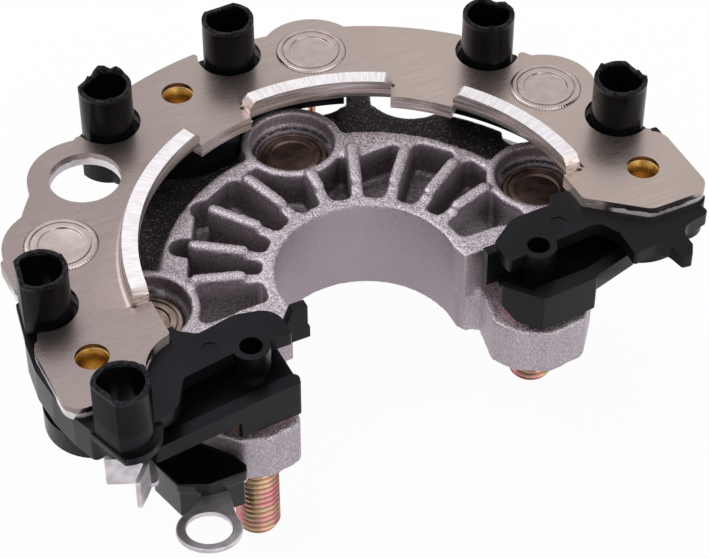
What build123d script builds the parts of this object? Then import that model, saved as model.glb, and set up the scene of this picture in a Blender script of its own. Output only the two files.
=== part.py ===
from build123d import *
import os
from math import atan2, cos, degrees, hypot, radians, sin

# Frame: the origin is the centre of the diode pitch circle, in the top face of
# the negative heat sink. +Z points to the side where the wire tubes stand up,
# and -Y is the open side of the horseshoe. Sizes are in millimetres. Angles are
# in degrees from +Y and grow towards -X, as seen from above.

# Stamped plate that carries the negative diodes
pitch_radius = 51.5
plate_thick = 2.7
edge_radius = 57.8
rivet_edge_radius = 58.8
tab_radius = 38.1
lobe_radius_left = 10.0
lobe_radius_right = 9.3
web_radius = 59.2
plate_end_x = 59.3
plate_end_y = 13.9
plate_end_back = 3.8
plate_corner = 3.2
plate_chamfer_x = 47.5
plate_chamfer_y = 6.2
plate_flank_x = 57.2
plate_flank_y = 21.0
plate_bite = (-36.5, -13.5)
plate_bite_radius = 8.8
plate_overlap = 8.0
edge_round = 0.7

# Upturned lips on the plate's inner edge
lip_inner_radius = 38.4
lip_height = 3.0
lip_bend = 1.3
lip_spans = [(23.5, 85.0), (-32.5, 6.5), (-89.5, -49.5)]
relief_radius = 0.5
lip_corner = 1.2

# Places on the pitch circle
rivet_angles = [94.5, 15.2, -94.5]
negative_angles = {"left": 64.4, "center": -14.7, "right": -64.7}
open_bore_angle = 45.4
open_bore_radius = 6.3

# Press-fit diodes
diode_radius = 6.4
diode_proud = 0.4
diode_height = 5.6
diode_base = 2.6
diode_wall = 1.1
diode_edge = 0.3
recess_radius = 3.9
recess_depth = 0.35
groove_radius = 5.2
groove_width = 0.3
lead_radius = 0.7
lead_head_radius = 2.2
lead_head_thick = 0.6
potting_gap = 0.4

# Stator wire tubes
tube_pitch = 55.2
tube_angles = [110.0, 79.6, 30.1, 0.9, -49.6, -79.8]
tube_radius = 4.7
tube_wall = 0.85
tube_flat = 3.7
tube_height = 8.6
scallop_radius = 5.8

# Moulded terminal blocks
body_reach = 8.8
body_width = 9.8
body_bottom = -9.0
block_top = -2.0
plate_room = 0.15
plate_gap = 0.05
cup_room = 0.6
lead_room = 0.6
top_plate_thick = 2.6
tray_rim = -6.6
tray_floor = -8.2
tray_thick = 1.6
back_wall = -6.4
wall_thick = 1.2
hood_bottom = -13.9
beam_bottom = -10.0
beam_width = 2.4
guide_radius = 3.2
guide_bore = 1.95
shroud_radius = 13.0
shroud_overhang = 1.0
foot_radius = 6.0
foot_flat = 4.1
foot_bottom = -4.2
mark_radius = 1.45
mark_depth = 0.15

# Tubular rivets and the insulating bushes under them
rivet_radius = 2.86
rivet_bore = 2.2
rivet_sink = 0.9
rivet_head_radius = 4.4
rivet_head_thick = 0.8
skirt_room = 0.2
skirt_thick = 1.1
skirt_top = -9.9
bush_thick = 1.6
neck_radius = 4.6

# Cast positive heat sink
bore_radius = 15.7
bore_foot_radius = 16.6
cast_top = -6.0
cast_bottom = -26.0
bore_wall = 2.6
hub_radius = 35.3
arm_end_y = -4.7
arm_flare = 1.3
foot_flare = 3.4
floor_top = -13.0
floor_bottom = -16.0
rim_bottom = -16.4
flange_thick = 4.0
flange_radius = 46.0
flange_end_angle = 95.0
flange_windows = [(49.2, -15.7, 4.9), (50.95, -35.2, 7.8), (47.0, -62.1, 2.95)]
finger_angle = -24.3
finger_pitch = 48.6
finger_width = 4.6
ear_radius = 7.6
ear_neck = 9.0
ear_root = 9.0
rib_angles = [70.5, 54.4, 36.5, 17.9, -2.9, -21.0, -39.0, -56.5, -72.5]
rib_thick = 2.2
rib_top = -4.7
rib_start = 20.6
rib_ends = [30.2, 31.2, 31.2, 31.2, 26.2, 31.2, 31.2, 31.2, 29.5]
pocket_corner = 1.2
bay_corner = 1.2
bay_radius = 18.0
pocket_reach = [30.6, 30.8, 33.2, 33.0, 31.4, 28.6, 33.6, 33.6, 32.6]
free_ribs = [54.4, 36.5]
collar_radius = 9.2
collar_bore = 7.6
collar_top = -5.8
positive_places = {"left": (38.3, 78.3), "center": (35.1, -3.6), "right": (38.3, -78.3)}
positive_sink = 0.3
lug_top = -15.2
lug_bottom = -24.9

# Studs
stud_x = 26.7
stud_y = -11.3
stud_radius = 3.9
shank_radius = 4.2
thread_runout = 0.6
stud_head_across = 10.8
stud_head_height = 5.0
battery_stud_end = -46.2
auxiliary_stud_end = -32.4
stud_chamfer = 0.7

# Phase conductors
strip_top = -16.8
strip_thick = 0.8
strip_width = 3.4
eyelet_radius = 2.6
lead_end = -18.6
hook_top = -5.0
hook_bottom = -11.0
hook_thick = 0.9

# Suppression capacitor beside the battery stud
case_top = -17.6
case_height = 8.4
case_wall = 1.4
lid_thick = 2.2
lid_room = 0.5
terminal_thick = 0.8
ring_radius = 5.4
ring_hole = 3.75

body_inner_radius = tube_pitch - body_reach
body_outer_radius = body_inner_radius + body_width
shroud_outer_radius = body_outer_radius + shroud_overhang
body_top = -plate_thick - plate_gap
flange_top = body_bottom
flange_bottom = flange_top - flange_thick
lip_outer_radius = lip_inner_radius + plate_thick
bend_end_radius = lip_outer_radius + lip_bend
positive_top = flange_top - positive_sink
bush_bottom = flange_bottom - bush_thick
skirt_inner_radius = ear_radius + skirt_room
bush_radius = skirt_inner_radius + skirt_thick


def polar(radius, angle):
    """Point at a radius and an angle from +Y towards -X."""
    return (-radius * sin(radians(angle)), radius * cos(radians(angle)))


stud_places = [(-stud_x, stud_y), (stud_x, stud_y)]

# Outlines in plan as x, y and corner radius
lug_outlines = {
    -1: [
        (16.2, 1, 0.5),
        (19.8, -5.8, 0.8),
        (20.2, -12.8, 0.8),
        (21.5, -19.3, 2),
        (27.7, -20.3, 2),
        (32.2, -18.8, 2),
        (37.2, -13.0, 2),
        (41.6, -8.6, 1.5),
        (34.5, 1, 0.5),
    ],
    1: [
        (16.2, 1, 0.5),
        (19.2, -5.8, 0.8),
        (17.8, -12.8, 0.8),
        (20.1, -16.8, 2),
        (25.5, -19.9, 2),
        (32.5, -19.1, 2),
        (37.5, -12.8, 2),
        (40.4, -8.6, 1.5),
        (34.5, 1, 0.5),
    ],
}
arm_foot = [
    (16.2, 1, 0.2),
    (19.2, arm_end_y, 0.2),
    (34.9, arm_end_y, 0.5),
    (34.5, 1, 0.2),
]
top_outlines = {
    "left": [
        (-36.6, 3.0, 0.4),
        (-36.4, -2.7, 1.5),
        (-33.4, -5.0, 1.5),
        (-26.4, -3.6, 6),
        (-19.6, -5.2, 4),
        (-19.4, -11.6, 0.5),
        (-30.0, -11.6, 1),
        (-39.4, -13.0, 2),
        (-42.6, -18.6, 4),
        (-48.0, -20.2, 1),
        (-50.0, -8.0, 1),
        (-50.0, 3.0, 0.4),
    ],
    "right": [
        (39.6, 6.6, 0.3),
        (35.4, 0.6, 2),
        (33.8, -3.4, 0.8),
        (25.8, -3.6, 6),
        (20.0, -7.6, 2),
        (20.4, -12.8, 0.5),
        (30.0, -11.6, 1),
        (38.6, -11.0, 2),
        (40.6, -14.8, 0.5),
        (40.3, -20.4, 0.5),
        (46.3, -19.7, 2.6),
        (47.2, -24.6, 0.5),
        (48.9, -24.8, 0.5),
        (50.3, -22.6, 0.8),
        (50.4, -18.4, 3),
        (57.0, -17.0, 1),
        (55.0, -5.0, 1),
        (46.0, 3.0, 0.4),
    ],
}
wall_outlines = {
    "left": [
        (-59.4, 6.0, 0.5),
        (-60.2, -1.0, 4),
        (-59.7, -7.0, 4),
        (-58.4, -13.0, 4),
        (-56.8, -17.4, 1),
        (-47.4, -16.4, 1),
        (-42.8, -11.0, 2),
        (-39.4, -5.9, 1),
        (-46.5, -5.9, 0.5),
        (-46.5, 6.0, 0.5),
    ],
    "right": [
        (60.3, 6.0, 0.5),
        (60.3, -9.4, 4),
        (57.6, -15.2, 4),
        (47.0, -15.6, 1),
        (43.4, -11.0, 1),
        (41.0, -5.9, 1),
        (46.5, -5.9, 0.5),
        (46.5, 6.0, 0.5),
    ],
}
tray_outlines = {
    "left": [
        (-46.4, -19.6, 0.3),
        (-20.8, -17.0, 0.3),
        (-20.8, back_wall, 0.3),
        (-42.6, back_wall, 0.3),
    ],
    "right": [
        (19.2, -12.3, 0.3),
        (24.2, -17.6, 0.3),
        (34.9, -16.1, 0.3),
        (43.0, -13.8, 0.3),
        (42.6, back_wall, 0.3),
        (20.4, back_wall, 0.3),
    ],
}
beam_paths = {
    "left": [(-47.2, -20.0), (-22.0, -17.1)],
    "right": [(24.4, -17.3), (34.2, -17.0), (42.8, -14.6)],
}
hood_paths = {
    "left": [(-31.8, -18.4), (-21.6, -17.9)],
    "right": [(19.5, -13.1), (23.9, -18.6), (34.0, -18.0)],
}
hood_notch = [(-1.4, tray_rim - 3.4), (-1.4, hood_bottom - 1), (3.6, hood_bottom - 1)]
mark_places = {"left": (-33.0, -9.0), "right": (32.5, -8.0)}
# Upright fins in side view as x and height, and where their front faces lie
fin_profiles = {
    "left": [
        (-21.5, -9.6),
        (-14.1, -9.6),
        (-14.1, -7.2),
        (-14.5, -7.2),
        (-14.5, -2.2),
        (-17.1, -2.2),
        (-19.0, -6.7),
        (-21.5, -6.7),
    ],
    "right": [
        (18.1, -9.7),
        (21.5, -9.7),
        (21.5, -2.3),
        (18.1, -2.3),
    ],
}
fin_fronts = {"left": -7.0, "right": -9.2}
fin_thick = 1.7
strip_paths = {
    "left": [
        [(-48.4, -15.0), (-46.4, -10.0), (-44.0, -3.0), polar(38.3, 78.3), polar(51.5, 64.4)],
        [polar(51.5, 64.4), (-50.6, 12.5)],
    ],
    "center": [
        [(-24.5, 43.0), (-13.5, 39.5), polar(35.1, -3.6), polar(51.5, -14.7)],
        [polar(35.1, -3.6), (-0.8, 49.5)],
    ],
    "right": [
        [(38.6, 32.6), polar(51.5, -64.7), polar(38.3, -78.3)],
        [polar(51.5, -64.7), (50.4, 10.5)],
    ],
}
wire_places = {
    "left": [(-47.2, -12.0), (-50.6, 12.5)],
    "center": [(-24.5, 43.0), (-0.8, 49.5)],
    "right": [(38.6, 32.6), (50.4, 10.5)],
}
hook_post = [(-49.3, -15.3), (-48.5, -16.0)]
hook_arm = [(-48.7, -15.4), (-49.8, -23.6)]
hook_path = [(-56.0, -20.8), (-51.8, -22.6), (-50.8, -24.6), (-52.2, -26.2), (-53.4, -27.4)]
case_outline = [
    (-46.7, -12.6, 1),
    (-44.6, -20.8, 0.8),
    (-40.1, -23.1, 0.8),
    (-33.3, -23.2, 0.8),
    (-32.6, -21.5, 0.8),
    (-33.6, -18.6, 1),
    (-37.4, -13.8, 1),
    (-41.8, -12.0, 1),
]
strap_path = [(-26.7, -11.3), (-38.0, -19.5)]
strap_width = 6.0
strap_eye_radius = 6.2
neck_place = (-39.1, -23.6)
neck_run = (-0.53, -0.85)
neck_width = 3.2
neck_inside = 2.5
ring_reach = 7.6
ring_drop = 0.18
center_end = -21.0
tube_throat = 3.0
guide_bottom = -6.4
wire_hole = 0.9
seat_bottom = -15.0
end_pockets = [(70.5, 91.5), (-93.5, -72.5)]


def radial_plane(angle):
    """Upright plane through the axis: local x is the radius, local y is the height."""
    a = radians(angle)
    return Plane(origin=(0, 0, 0), x_dir=(-sin(a), cos(a), 0), z_dir=(cos(a), sin(a), 0))


def ring_sector(inner, outer, start, end):
    """Flat ring piece between two radii and two angles."""
    with BuildSketch() as piece:
        with BuildLine():
            outside = CenterArc((0, 0), outer, 90 + start, end - start)
            inside = CenterArc((0, 0), inner, 90 + start, end - start)
            Line(outside @ 0, inside @ 0)
            Line(outside @ 1, inside @ 1)
        make_face()
    return piece.sketch


def outline(corners):
    """Closed outline through corners given as x, y and corner radius."""
    with BuildSketch() as piece:
        with BuildLine():
            FilletPolyline(
                [(x, y) for x, y, r in corners],
                radius=[r for x, y, r in corners],
                close=True,
            )
        make_face()
    return piece.sketch


def block(bottom, top, sketch):
    """Solid between two heights over a flat sketch."""
    with BuildPart() as piece:
        with BuildSketch(Plane.XY.offset(bottom)):
            add(sketch)
        extrude(amount=top - bottom)
    return piece.part


def discs(radius, places):
    """Flat round areas at several places."""
    with BuildSketch() as piece:
        with Locations(*places):
            Circle(radius)
    return piece.sketch


def thick_path(points, width):
    """Flat band of one width along a path, with round ends and bends."""
    with BuildSketch() as piece:
        for (x0, y0), (x1, y1) in zip(points, points[1:]):
            turn = degrees(atan2(y1 - y0, x1 - x0))
            with Locations(((x0 + x1) / 2, (y0 + y1) / 2)):
                SlotCenterToCenter(hypot(x1 - x0, y1 - y0), width, rotation=turn)
    return piece.sketch


def plate_end(side, room=0):
    """One end of the plate, cut back on the inner side by a slope or a bite."""
    with BuildSketch() as piece:
        add(
            outline(
                [
                    (side * (tab_radius - 0.1 - room), plate_end_back, 0),
                    (side * (plate_end_x + room), plate_end_back, plate_corner),
                    (side * (plate_end_x + room), -plate_end_y - room, plate_corner),
                    (side * (plate_chamfer_x - room / 2), -plate_end_y - room, plate_corner),
                    (side * (tab_radius - room), -plate_chamfer_y - room / 2, 1.2),
                ]
            )
        )
        if side < 0:
            with Locations(plate_bite):
                Circle(plate_bite_radius - room, mode=Mode.SUBTRACT)
    return piece.sketch


def make_negative_heat_sink():
    """Stamped plate with scalloped edge, press-fit bores and upturned lips."""
    with BuildPart() as plate:
        with BuildSketch(Plane.XY.offset(-plate_thick)) as blank:
            add(
                ring_sector(
                    tab_radius,
                    edge_radius,
                    tube_angles[5] - plate_overlap,
                    tube_angles[1] + plate_overlap,
                )
            )
            add(ring_sector(pitch_radius, rivet_edge_radius, tube_angles[3], tube_angles[2]))
            with Locations((-(plate_flank_x + pitch_radius) / 2, plate_flank_y / 2 + 6)):
                Rectangle(plate_flank_x - pitch_radius, plate_flank_y - 8)
            for name, angle in negative_angles.items():
                with Locations(polar(pitch_radius, angle)):
                    Circle(lobe_radius_left if name == "left" else lobe_radius_right)
            with Locations(polar(pitch_radius, open_bore_angle)):
                Circle(lobe_radius_left)
            add(ring_sector(pitch_radius, web_radius, open_bore_angle + 4, negative_angles["left"] - 4))
            for side in (-1, 1):
                add(plate_end(side))
            for angle in tube_angles[1:]:
                with Locations(polar(tube_pitch, angle)):
                    Circle(scallop_radius, mode=Mode.SUBTRACT)
            offset(amount=-edge_round, mode=Mode.REPLACE)
            offset(amount=edge_round, mode=Mode.REPLACE)
            for angle in rivet_angles:
                with Locations(polar(pitch_radius, angle)):
                    Circle(rivet_radius, mode=Mode.SUBTRACT)
            for angle in negative_angles.values():
                with Locations(polar(pitch_radius, angle)):
                    Circle(diode_radius, mode=Mode.SUBTRACT)
            with Locations(polar(pitch_radius, open_bore_angle)):
                Circle(open_bore_radius, mode=Mode.SUBTRACT)
            for start, end in lip_spans:
                add(ring_sector(tab_radius - 1, bend_end_radius, start, end), mode=Mode.SUBTRACT)
                for angle in (start, end):
                    with Locations(polar(lip_outer_radius, angle)):
                        Circle(relief_radius, mode=Mode.SUBTRACT)
        extrude(amount=plate_thick)
        for start, end in lip_spans:
            add(lip(start, end))
    return plate


def lip(start, end):
    """Part of the plate's inner edge, bent up through a right angle."""
    with BuildPart() as bent:
        with BuildSketch(radial_plane(start)):
            with BuildLine():
                Line((bend_end_radius, 0), (bend_end_radius, -plate_thick))
                CenterArc((bend_end_radius, lip_bend), lip_bend + plate_thick, 180, 90)
                Polyline(
                    (lip_inner_radius, lip_bend),
                    (lip_inner_radius, lip_height),
                    (lip_outer_radius, lip_height),
                    (lip_outer_radius, lip_bend),
                )
                CenterArc((bend_end_radius, lip_bend), lip_bend, 180, 90)
            make_face()
        revolve(axis=Axis.Z, revolution_arc=end - start)
        straight = bent.edges().filter_by(GeomType.LINE)
        chamfer(straight.group_by(Axis.Z)[-1], length=lip_corner)
    return bent.part


def half_section(points):
    """Flat face through points given as radius and height."""
    with BuildSketch() as piece:
        with BuildLine():
            Polyline(*points, close=True)
        make_face()
    return piece.sketch


def turned(place, top, points):
    """Turned piece at a place, from a half section measured down from its top."""
    with BuildPart() as piece:
        with BuildSketch(Plane(origin=(*place, top), x_dir=(1, 0, 0), z_dir=(0, -1, 0))):
            add(half_section(points))
        revolve(axis=Axis((*place, top), (0, 0, 1)))
    return piece


def make_diode(place, top):
    """Copper cup, lead and potting of one diode, which points down."""
    half = groove_width / 2
    inner = diode_radius - diode_wall
    head_bottom = -diode_base - lead_head_thick
    fill_level = -diode_height + potting_gap
    cup = turned(
        place,
        top,
        [
            (0, -recess_depth),
            (recess_radius, -recess_depth),
            (recess_radius + half, 0),
            (groove_radius - half, 0),
            (groove_radius, -groove_width),
            (groove_radius + half, 0),
            (diode_radius - diode_edge, 0),
            (diode_radius, -diode_edge),
            (diode_radius, -diode_height),
            (inner, -diode_height),
            (inner, -diode_base),
            (0, -diode_base),
        ],
    )
    lead = turned(
        place,
        top,
        [
            (0, -diode_base),
            (lead_head_radius, -diode_base),
            (lead_head_radius, head_bottom),
            (lead_radius, head_bottom),
            (lead_radius, lead_end - top),
            (0, lead_end - top),
        ],
    )
    potting = turned(
        place,
        top,
        [
            (lead_radius, head_bottom),
            (lead_head_radius, head_bottom),
            (lead_head_radius, -diode_base),
            (inner, -diode_base),
            (inner, fill_level),
            (lead_radius, fill_level - potting_gap / 2),
        ],
    )
    return cup, lead, potting


def hub_plan(outer, inner, flare):
    """Plan of a horseshoe open towards -Y, between two radii, its arms flared."""
    with BuildSketch() as plan:
        Circle(outer)
        with Locations((0, arm_end_y - outer)):
            Rectangle(2 * outer, 2 * outer, mode=Mode.SUBTRACT)
        Circle(inner, mode=Mode.SUBTRACT)
        with BuildLine():
            Polyline(
                (-inner, 0),
                (inner, 0),
                (inner + flare, arm_end_y - 1),
                (-inner - flare, arm_end_y - 1),
                close=True,
            )
        make_face(mode=Mode.SUBTRACT)
    return plan.sketch


def pocket(start, end, start_reach, end_reach):
    """Pocket between two ribs, given by their angles and its reach beside each."""
    gap_inner = degrees(rib_thick / 2 / bay_radius)
    gap_start = degrees(rib_thick / 2 / start_reach)
    gap_end = degrees(rib_thick / 2 / end_reach)
    corners = [
        (*polar(bay_radius, start + gap_inner), bay_corner),
        (*polar(start_reach, start + gap_start), pocket_corner),
        (*polar(end_reach, end - gap_end), pocket_corner),
        (*polar(bay_radius, end - gap_inner), bay_corner),
    ]
    return outline(corners)


def ear_root_angle(angle):
    """Angle on the hub where the neck of an ear starts."""
    limit = flange_end_angle - ear_root
    return max(-limit, min(limit, angle))


def make_positive_heat_sink():
    """Cast horseshoe with ribs, diode collars, flange, ears and stud lugs."""
    seats = [polar(*place) for place in positive_places.values()]
    ears = [polar(pitch_radius, angle) for angle in rivet_angles]
    leads = [polar(pitch_radius, angle) for angle in negative_angles.values()]
    lead_hole = lead_radius + lead_room
    with BuildPart() as cast:
        add(block(rim_bottom, cast_top, hub_plan(hub_radius, bore_radius - 0.5, arm_flare)))
        for upper, lower, reach, next_reach in zip(rib_angles, rib_angles[1:], pocket_reach, pocket_reach[1:]):
            well = pocket(lower, upper, next_reach, reach)
            add(block(floor_top, cast_top + 1, well), mode=Mode.SUBTRACT)
            add(block(rim_bottom - 1, floor_bottom, well), mode=Mode.SUBTRACT)
        for lower, upper in end_pockets:
            well = pocket(lower, upper, pocket_reach[0], pocket_reach[0])
            add(block(rim_bottom - 1, cast_top + 1, well), mode=Mode.SUBTRACT)
        for angle in free_ribs:
            reach = rib_ends[rib_angles.index(angle)]
            gap = thick_path([polar(reach, angle), polar(reach + rib_thick / 2, angle)], 2 * rib_thick)
            add(block(floor_top, cast_top + 1, gap), mode=Mode.SUBTRACT)
        for angle, reach in zip(rib_angles, rib_ends):
            near = polar(rib_start + rib_thick / 2, angle)
            far = polar(reach - rib_thick / 2, angle)
            add(block(floor_top, rib_top, thick_path([near, far], rib_thick)))
        add(block(cast_bottom, rim_bottom, hub_plan(bore_radius + bore_wall, bore_radius - 0.5, foot_flare)))
        with BuildSketch(Plane.XY.offset(flange_bottom)):
            add(ring_sector(hub_radius - 1, flange_radius, -flange_end_angle, flange_end_angle))
            add(discs(ear_radius, ears))
            for angle in rivet_angles:
                root = polar(hub_radius, ear_root_angle(angle))
                add(thick_path([root, polar(pitch_radius, angle)], ear_neck))
            for reach, angle, radius in flange_windows:
                add(discs(radius, [polar(reach, angle)]), mode=Mode.SUBTRACT)
            add(thick_path([polar(hub_radius, finger_angle), polar(finger_pitch, finger_angle)], finger_width))
        extrude(amount=flange_thick)
        add(block(seat_bottom, collar_top, discs(collar_radius, seats)))
        for side in (-1, 1):
            add(block(lug_bottom, lug_top, outline([(side * x, y, r) for x, y, r in lug_outlines[side]])))
            add(block(cast_bottom, rim_bottom, outline([(side * x, y, r) for x, y, r in arm_foot])))
        add(block(flange_top, rib_top + 1, discs(collar_bore, seats)), mode=Mode.SUBTRACT)
        add(block(cast_bottom, flange_top, discs(diode_radius, seats)), mode=Mode.SUBTRACT)
        add(block(flange_bottom - 1, flange_top + 1, discs(neck_radius, ears)), mode=Mode.SUBTRACT)
        add(block(flange_bottom - 1, flange_top + 1, discs(lead_hole, leads)), mode=Mode.SUBTRACT)
        add(block(lug_bottom - 1, lug_top + 1, discs(shank_radius, stud_places)), mode=Mode.SUBTRACT)
        with Locations((0, 0, (cast_top + cast_bottom) / 2)):
            Cone(
                bore_foot_radius,
                bore_radius,
                cast_top - cast_bottom,
                mode=Mode.SUBTRACT,
            )
    return cast


def plate_cut():
    """Room left in a terminal block for the plate that lies on it."""
    with BuildSketch() as room:
        add(ring_sector(tab_radius, rivet_edge_radius + plate_room, -100, 100))
        with Locations((0, plate_end_back - plate_corner - 50)):
            Rectangle(150, 100, mode=Mode.SUBTRACT)
        for side in (-1, 1):
            add(plate_end(side, plate_room))
    return room.sketch


def tube_plan(size, flat, angle):
    """Round wire tube in plan, with a flat on its outer side."""
    with BuildSketch() as plan:
        with Locations(polar(tube_pitch, angle)):
            Circle(size)
        with Locations(Location((*polar(tube_pitch + flat + 5, angle), 0), (0, 0, angle + 90))):
            Rectangle(10, 20, mode=Mode.SUBTRACT)
    return plan.sketch


def finish_block(rough, tubes, cups, rivet):
    """Tubes, plate recess and holes shared by the three terminal blocks."""
    seats = [polar(*place) for place in positive_places.values()]
    with BuildPart() as piece:
        add(rough)
        add(block(body_top, 1, plate_cut()), mode=Mode.SUBTRACT)
        add(block(flange_top, body_top + 1, discs(collar_radius + 0.2, seats)), mode=Mode.SUBTRACT)
        for angle in cups:
            place = [polar(pitch_radius, angle)]
            room_bottom = diode_proud - diode_height - cup_room
            add(block(room_bottom, 1, discs(diode_radius + cup_room, place)), mode=Mode.SUBTRACT)
            add(
                block(hood_bottom, 0, discs(lead_radius + lead_room, place)),
                mode=Mode.SUBTRACT,
            )
        add(
            block(hood_bottom, 1, discs(rivet_radius, [polar(pitch_radius, rivet)])),
            mode=Mode.SUBTRACT,
        )
        for angle in tubes:
            add(block(foot_bottom, body_top, tube_plan(foot_radius, foot_flat, angle)))
            add(block(body_top, tube_height, tube_plan(tube_radius, tube_flat, angle)))
            add(
                block(
                    body_top,
                    tube_height + 1,
                    tube_plan(tube_radius - tube_wall, tube_flat - tube_wall, angle),
                ),
                mode=Mode.SUBTRACT,
            )
            add(
                block(body_bottom - 1, body_top + 1, discs(tube_throat, [polar(tube_pitch, angle)])),
                mode=Mode.SUBTRACT,
            )
    return piece


def make_center_block():
    """Terminal block in the middle, with two tubes and a shroud round the rivet."""
    with BuildPart() as rough:
        with BuildSketch(Plane.XY.offset(body_bottom)):
            add(ring_sector(body_inner_radius, body_outer_radius, center_end, tube_angles[2] + 5))
            add(discs(shroud_radius, [polar(pitch_radius, rivet_angles[1])]))
            add(tube_plan(foot_radius, foot_flat, tube_angles[2]))
            add(ring_sector(shroud_outer_radius, 2 * shroud_outer_radius, -30, 50), mode=Mode.SUBTRACT)
        extrude(amount=body_top - body_bottom)
    return finish_block(rough.part, tube_angles[2:4], [negative_angles["center"]], rivet_angles[1])


def make_end_block(side):
    """Terminal block at one end, with the stud guide, the tray and the hood."""
    name = "left" if side < 0 else "right"
    tubes = {"left": [tube_angles[1], tube_angles[0]], "right": tube_angles[4:]}[name]
    spread = {"left": (55.5, 96), "right": (-96, -44.5)}[name]
    with BuildPart() as rough:
        add(block(body_bottom, body_top, ring_sector(body_inner_radius, body_outer_radius, *spread)))
        add(block(body_bottom, block_top, outline(wall_outlines[name])))
        add(block(block_top - top_plate_thick, block_top, outline(top_outlines[name])))
        if name == "right":
            add(block(body_bottom, body_top, tube_plan(foot_radius, foot_flat, tube_angles[4])))
        with BuildSketch(Plane.XY.offset(tray_floor - tray_thick)):
            add(outline(tray_outlines[name]))
        extrude(amount=tray_thick)
        with BuildSketch(Plane.XY.offset(tray_floor)):
            across = [x for x, y, r in tray_outlines[name]]
            with Locations(((min(across) + max(across)) / 2, back_wall - wall_thick / 2)):
                Rectangle(max(across) - min(across), wall_thick)
        extrude(amount=block_top - top_plate_thick - tray_floor)
        add(block(beam_bottom, tray_rim, thick_path(beam_paths[name], beam_width)))
        add(block(hood_bottom, tray_rim, thick_path(hood_paths[name], wall_thick)))
        if name == "right":
            (x0, y0), (x1, y1) = hood_paths[name][:2]
            with BuildSketch(Plane(origin=(x0, y0, 0), x_dir=(x1 - x0, y1 - y0, 0), z_dir=(y1 - y0, x0 - x1, 0))):
                add(half_section(hood_notch))
            extrude(amount=2 * wall_thick, both=True, mode=Mode.SUBTRACT)
        guide = [(side * stud_x, stud_y)]
        add(block(guide_bottom, block_top, discs(guide_radius, guide)))
        add(block(guide_bottom - 1, block_top + 1, discs(guide_bore, guide)), mode=Mode.SUBTRACT)
        mark = discs(mark_radius, [mark_places[name]])
        add(block(block_top - mark_depth, block_top + 1, mark), mode=Mode.SUBTRACT)
        with BuildSketch(Plane(origin=(0, fin_fronts[name], 0), x_dir=(1, 0, 0), z_dir=(0, -1, 0))):
            add(half_section(fin_profiles[name]))
        extrude(amount=-fin_thick)
    cups = [negative_angles[name]]
    rivet = rivet_angles[0] if name == "left" else rivet_angles[2]
    return finish_block(rough.part, tubes, cups, rivet)


def make_rivets():
    """Three tubular rivets with their lower ends swaged outwards."""
    with BuildPart() as rivets:
        for angle in rivet_angles:
            place = [polar(pitch_radius, angle)]
            add(block(bush_bottom, -rivet_sink, discs(rivet_radius, place)))
            add(block(bush_bottom - rivet_head_thick, bush_bottom, discs(rivet_head_radius, place)))
            add(
                block(bush_bottom - 1, 1, discs(rivet_bore, place)),
                mode=Mode.SUBTRACT,
            )
    return rivets


def make_bushes():
    """Three insulating bushes with a neck that lines the casting's ear."""
    places = [polar(pitch_radius, angle) for angle in rivet_angles]
    with BuildPart() as bushes:
        for angle, place in zip(rivet_angles, places):
            add(block(bush_bottom, skirt_top, discs(bush_radius, [place])))
            add(block(flange_bottom, skirt_top + 1, discs(skirt_inner_radius, [place])), mode=Mode.SUBTRACT)
            neck = thick_path([polar(hub_radius, ear_root_angle(angle)), place], ear_neck + 2 * skirt_room)
            add(block(flange_bottom, skirt_top + 1, neck), mode=Mode.SUBTRACT)
            flange = ring_sector(hub_radius, flange_radius + skirt_room, -flange_end_angle, flange_end_angle)
            add(block(flange_bottom, skirt_top + 1, flange), mode=Mode.SUBTRACT)
            add(block(flange_bottom, flange_top, discs(neck_radius, [place])))
        add(block(bush_bottom, flange_top, discs(rivet_radius, places)), mode=Mode.SUBTRACT)
    return bushes


def make_stud(side, end, shank_end):
    """Stud with a flat-sided head on the lug, a plain shank and a thread."""
    place = (side * stud_x, stud_y)
    core = stud_radius - stud_chamfer
    with BuildPart() as stud:
        with BuildSketch(Plane(origin=(*place, 0), x_dir=(1, 0, 0), z_dir=(0, -1, 0))):
            add(
                half_section(
                    [
                        (0, lug_top),
                        (shank_radius, lug_top),
                        (shank_radius, shank_end),
                        (stud_radius, shank_end),
                        (stud_radius, end + stud_chamfer),
                        (core, end),
                        (0, end),
                    ]
                )
            )
        revolve(axis=Axis((*place, 0), (0, 0, 1)))
        with BuildSketch(Plane.XY.offset(lug_top)):
            with Locations(place):
                RegularPolygon(stud_head_across / 2, 6, major_radius=False, rotation=30)
        extrude(amount=stud_head_height)
    return stud


def make_strip(name):
    """Flat phase strip with eyelets round the leads."""
    leads = [polar(pitch_radius, negative_angles[name]), polar(*positive_places[name])]
    with BuildPart() as strip:
        with BuildSketch(Plane.XY.offset(strip_top - strip_thick)):
            for path in strip_paths[name]:
                add(thick_path(path, strip_width))
            add(discs(eyelet_radius, leads))
            add(discs(lead_radius, leads), mode=Mode.SUBTRACT)
            add(discs(wire_hole, wire_places[name]), mode=Mode.SUBTRACT)
        extrude(amount=strip_thick)
        if name == "left":
            add(block(strip_top - strip_thick, hook_bottom, thick_path(hook_post, hook_thick)))
            add(block(hook_bottom, hook_bottom + hook_thick, thick_path(hook_arm, strip_width - 1)))
            add(block(hook_bottom, hook_top, thick_path(hook_path, hook_thick)))
    return strip


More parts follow.
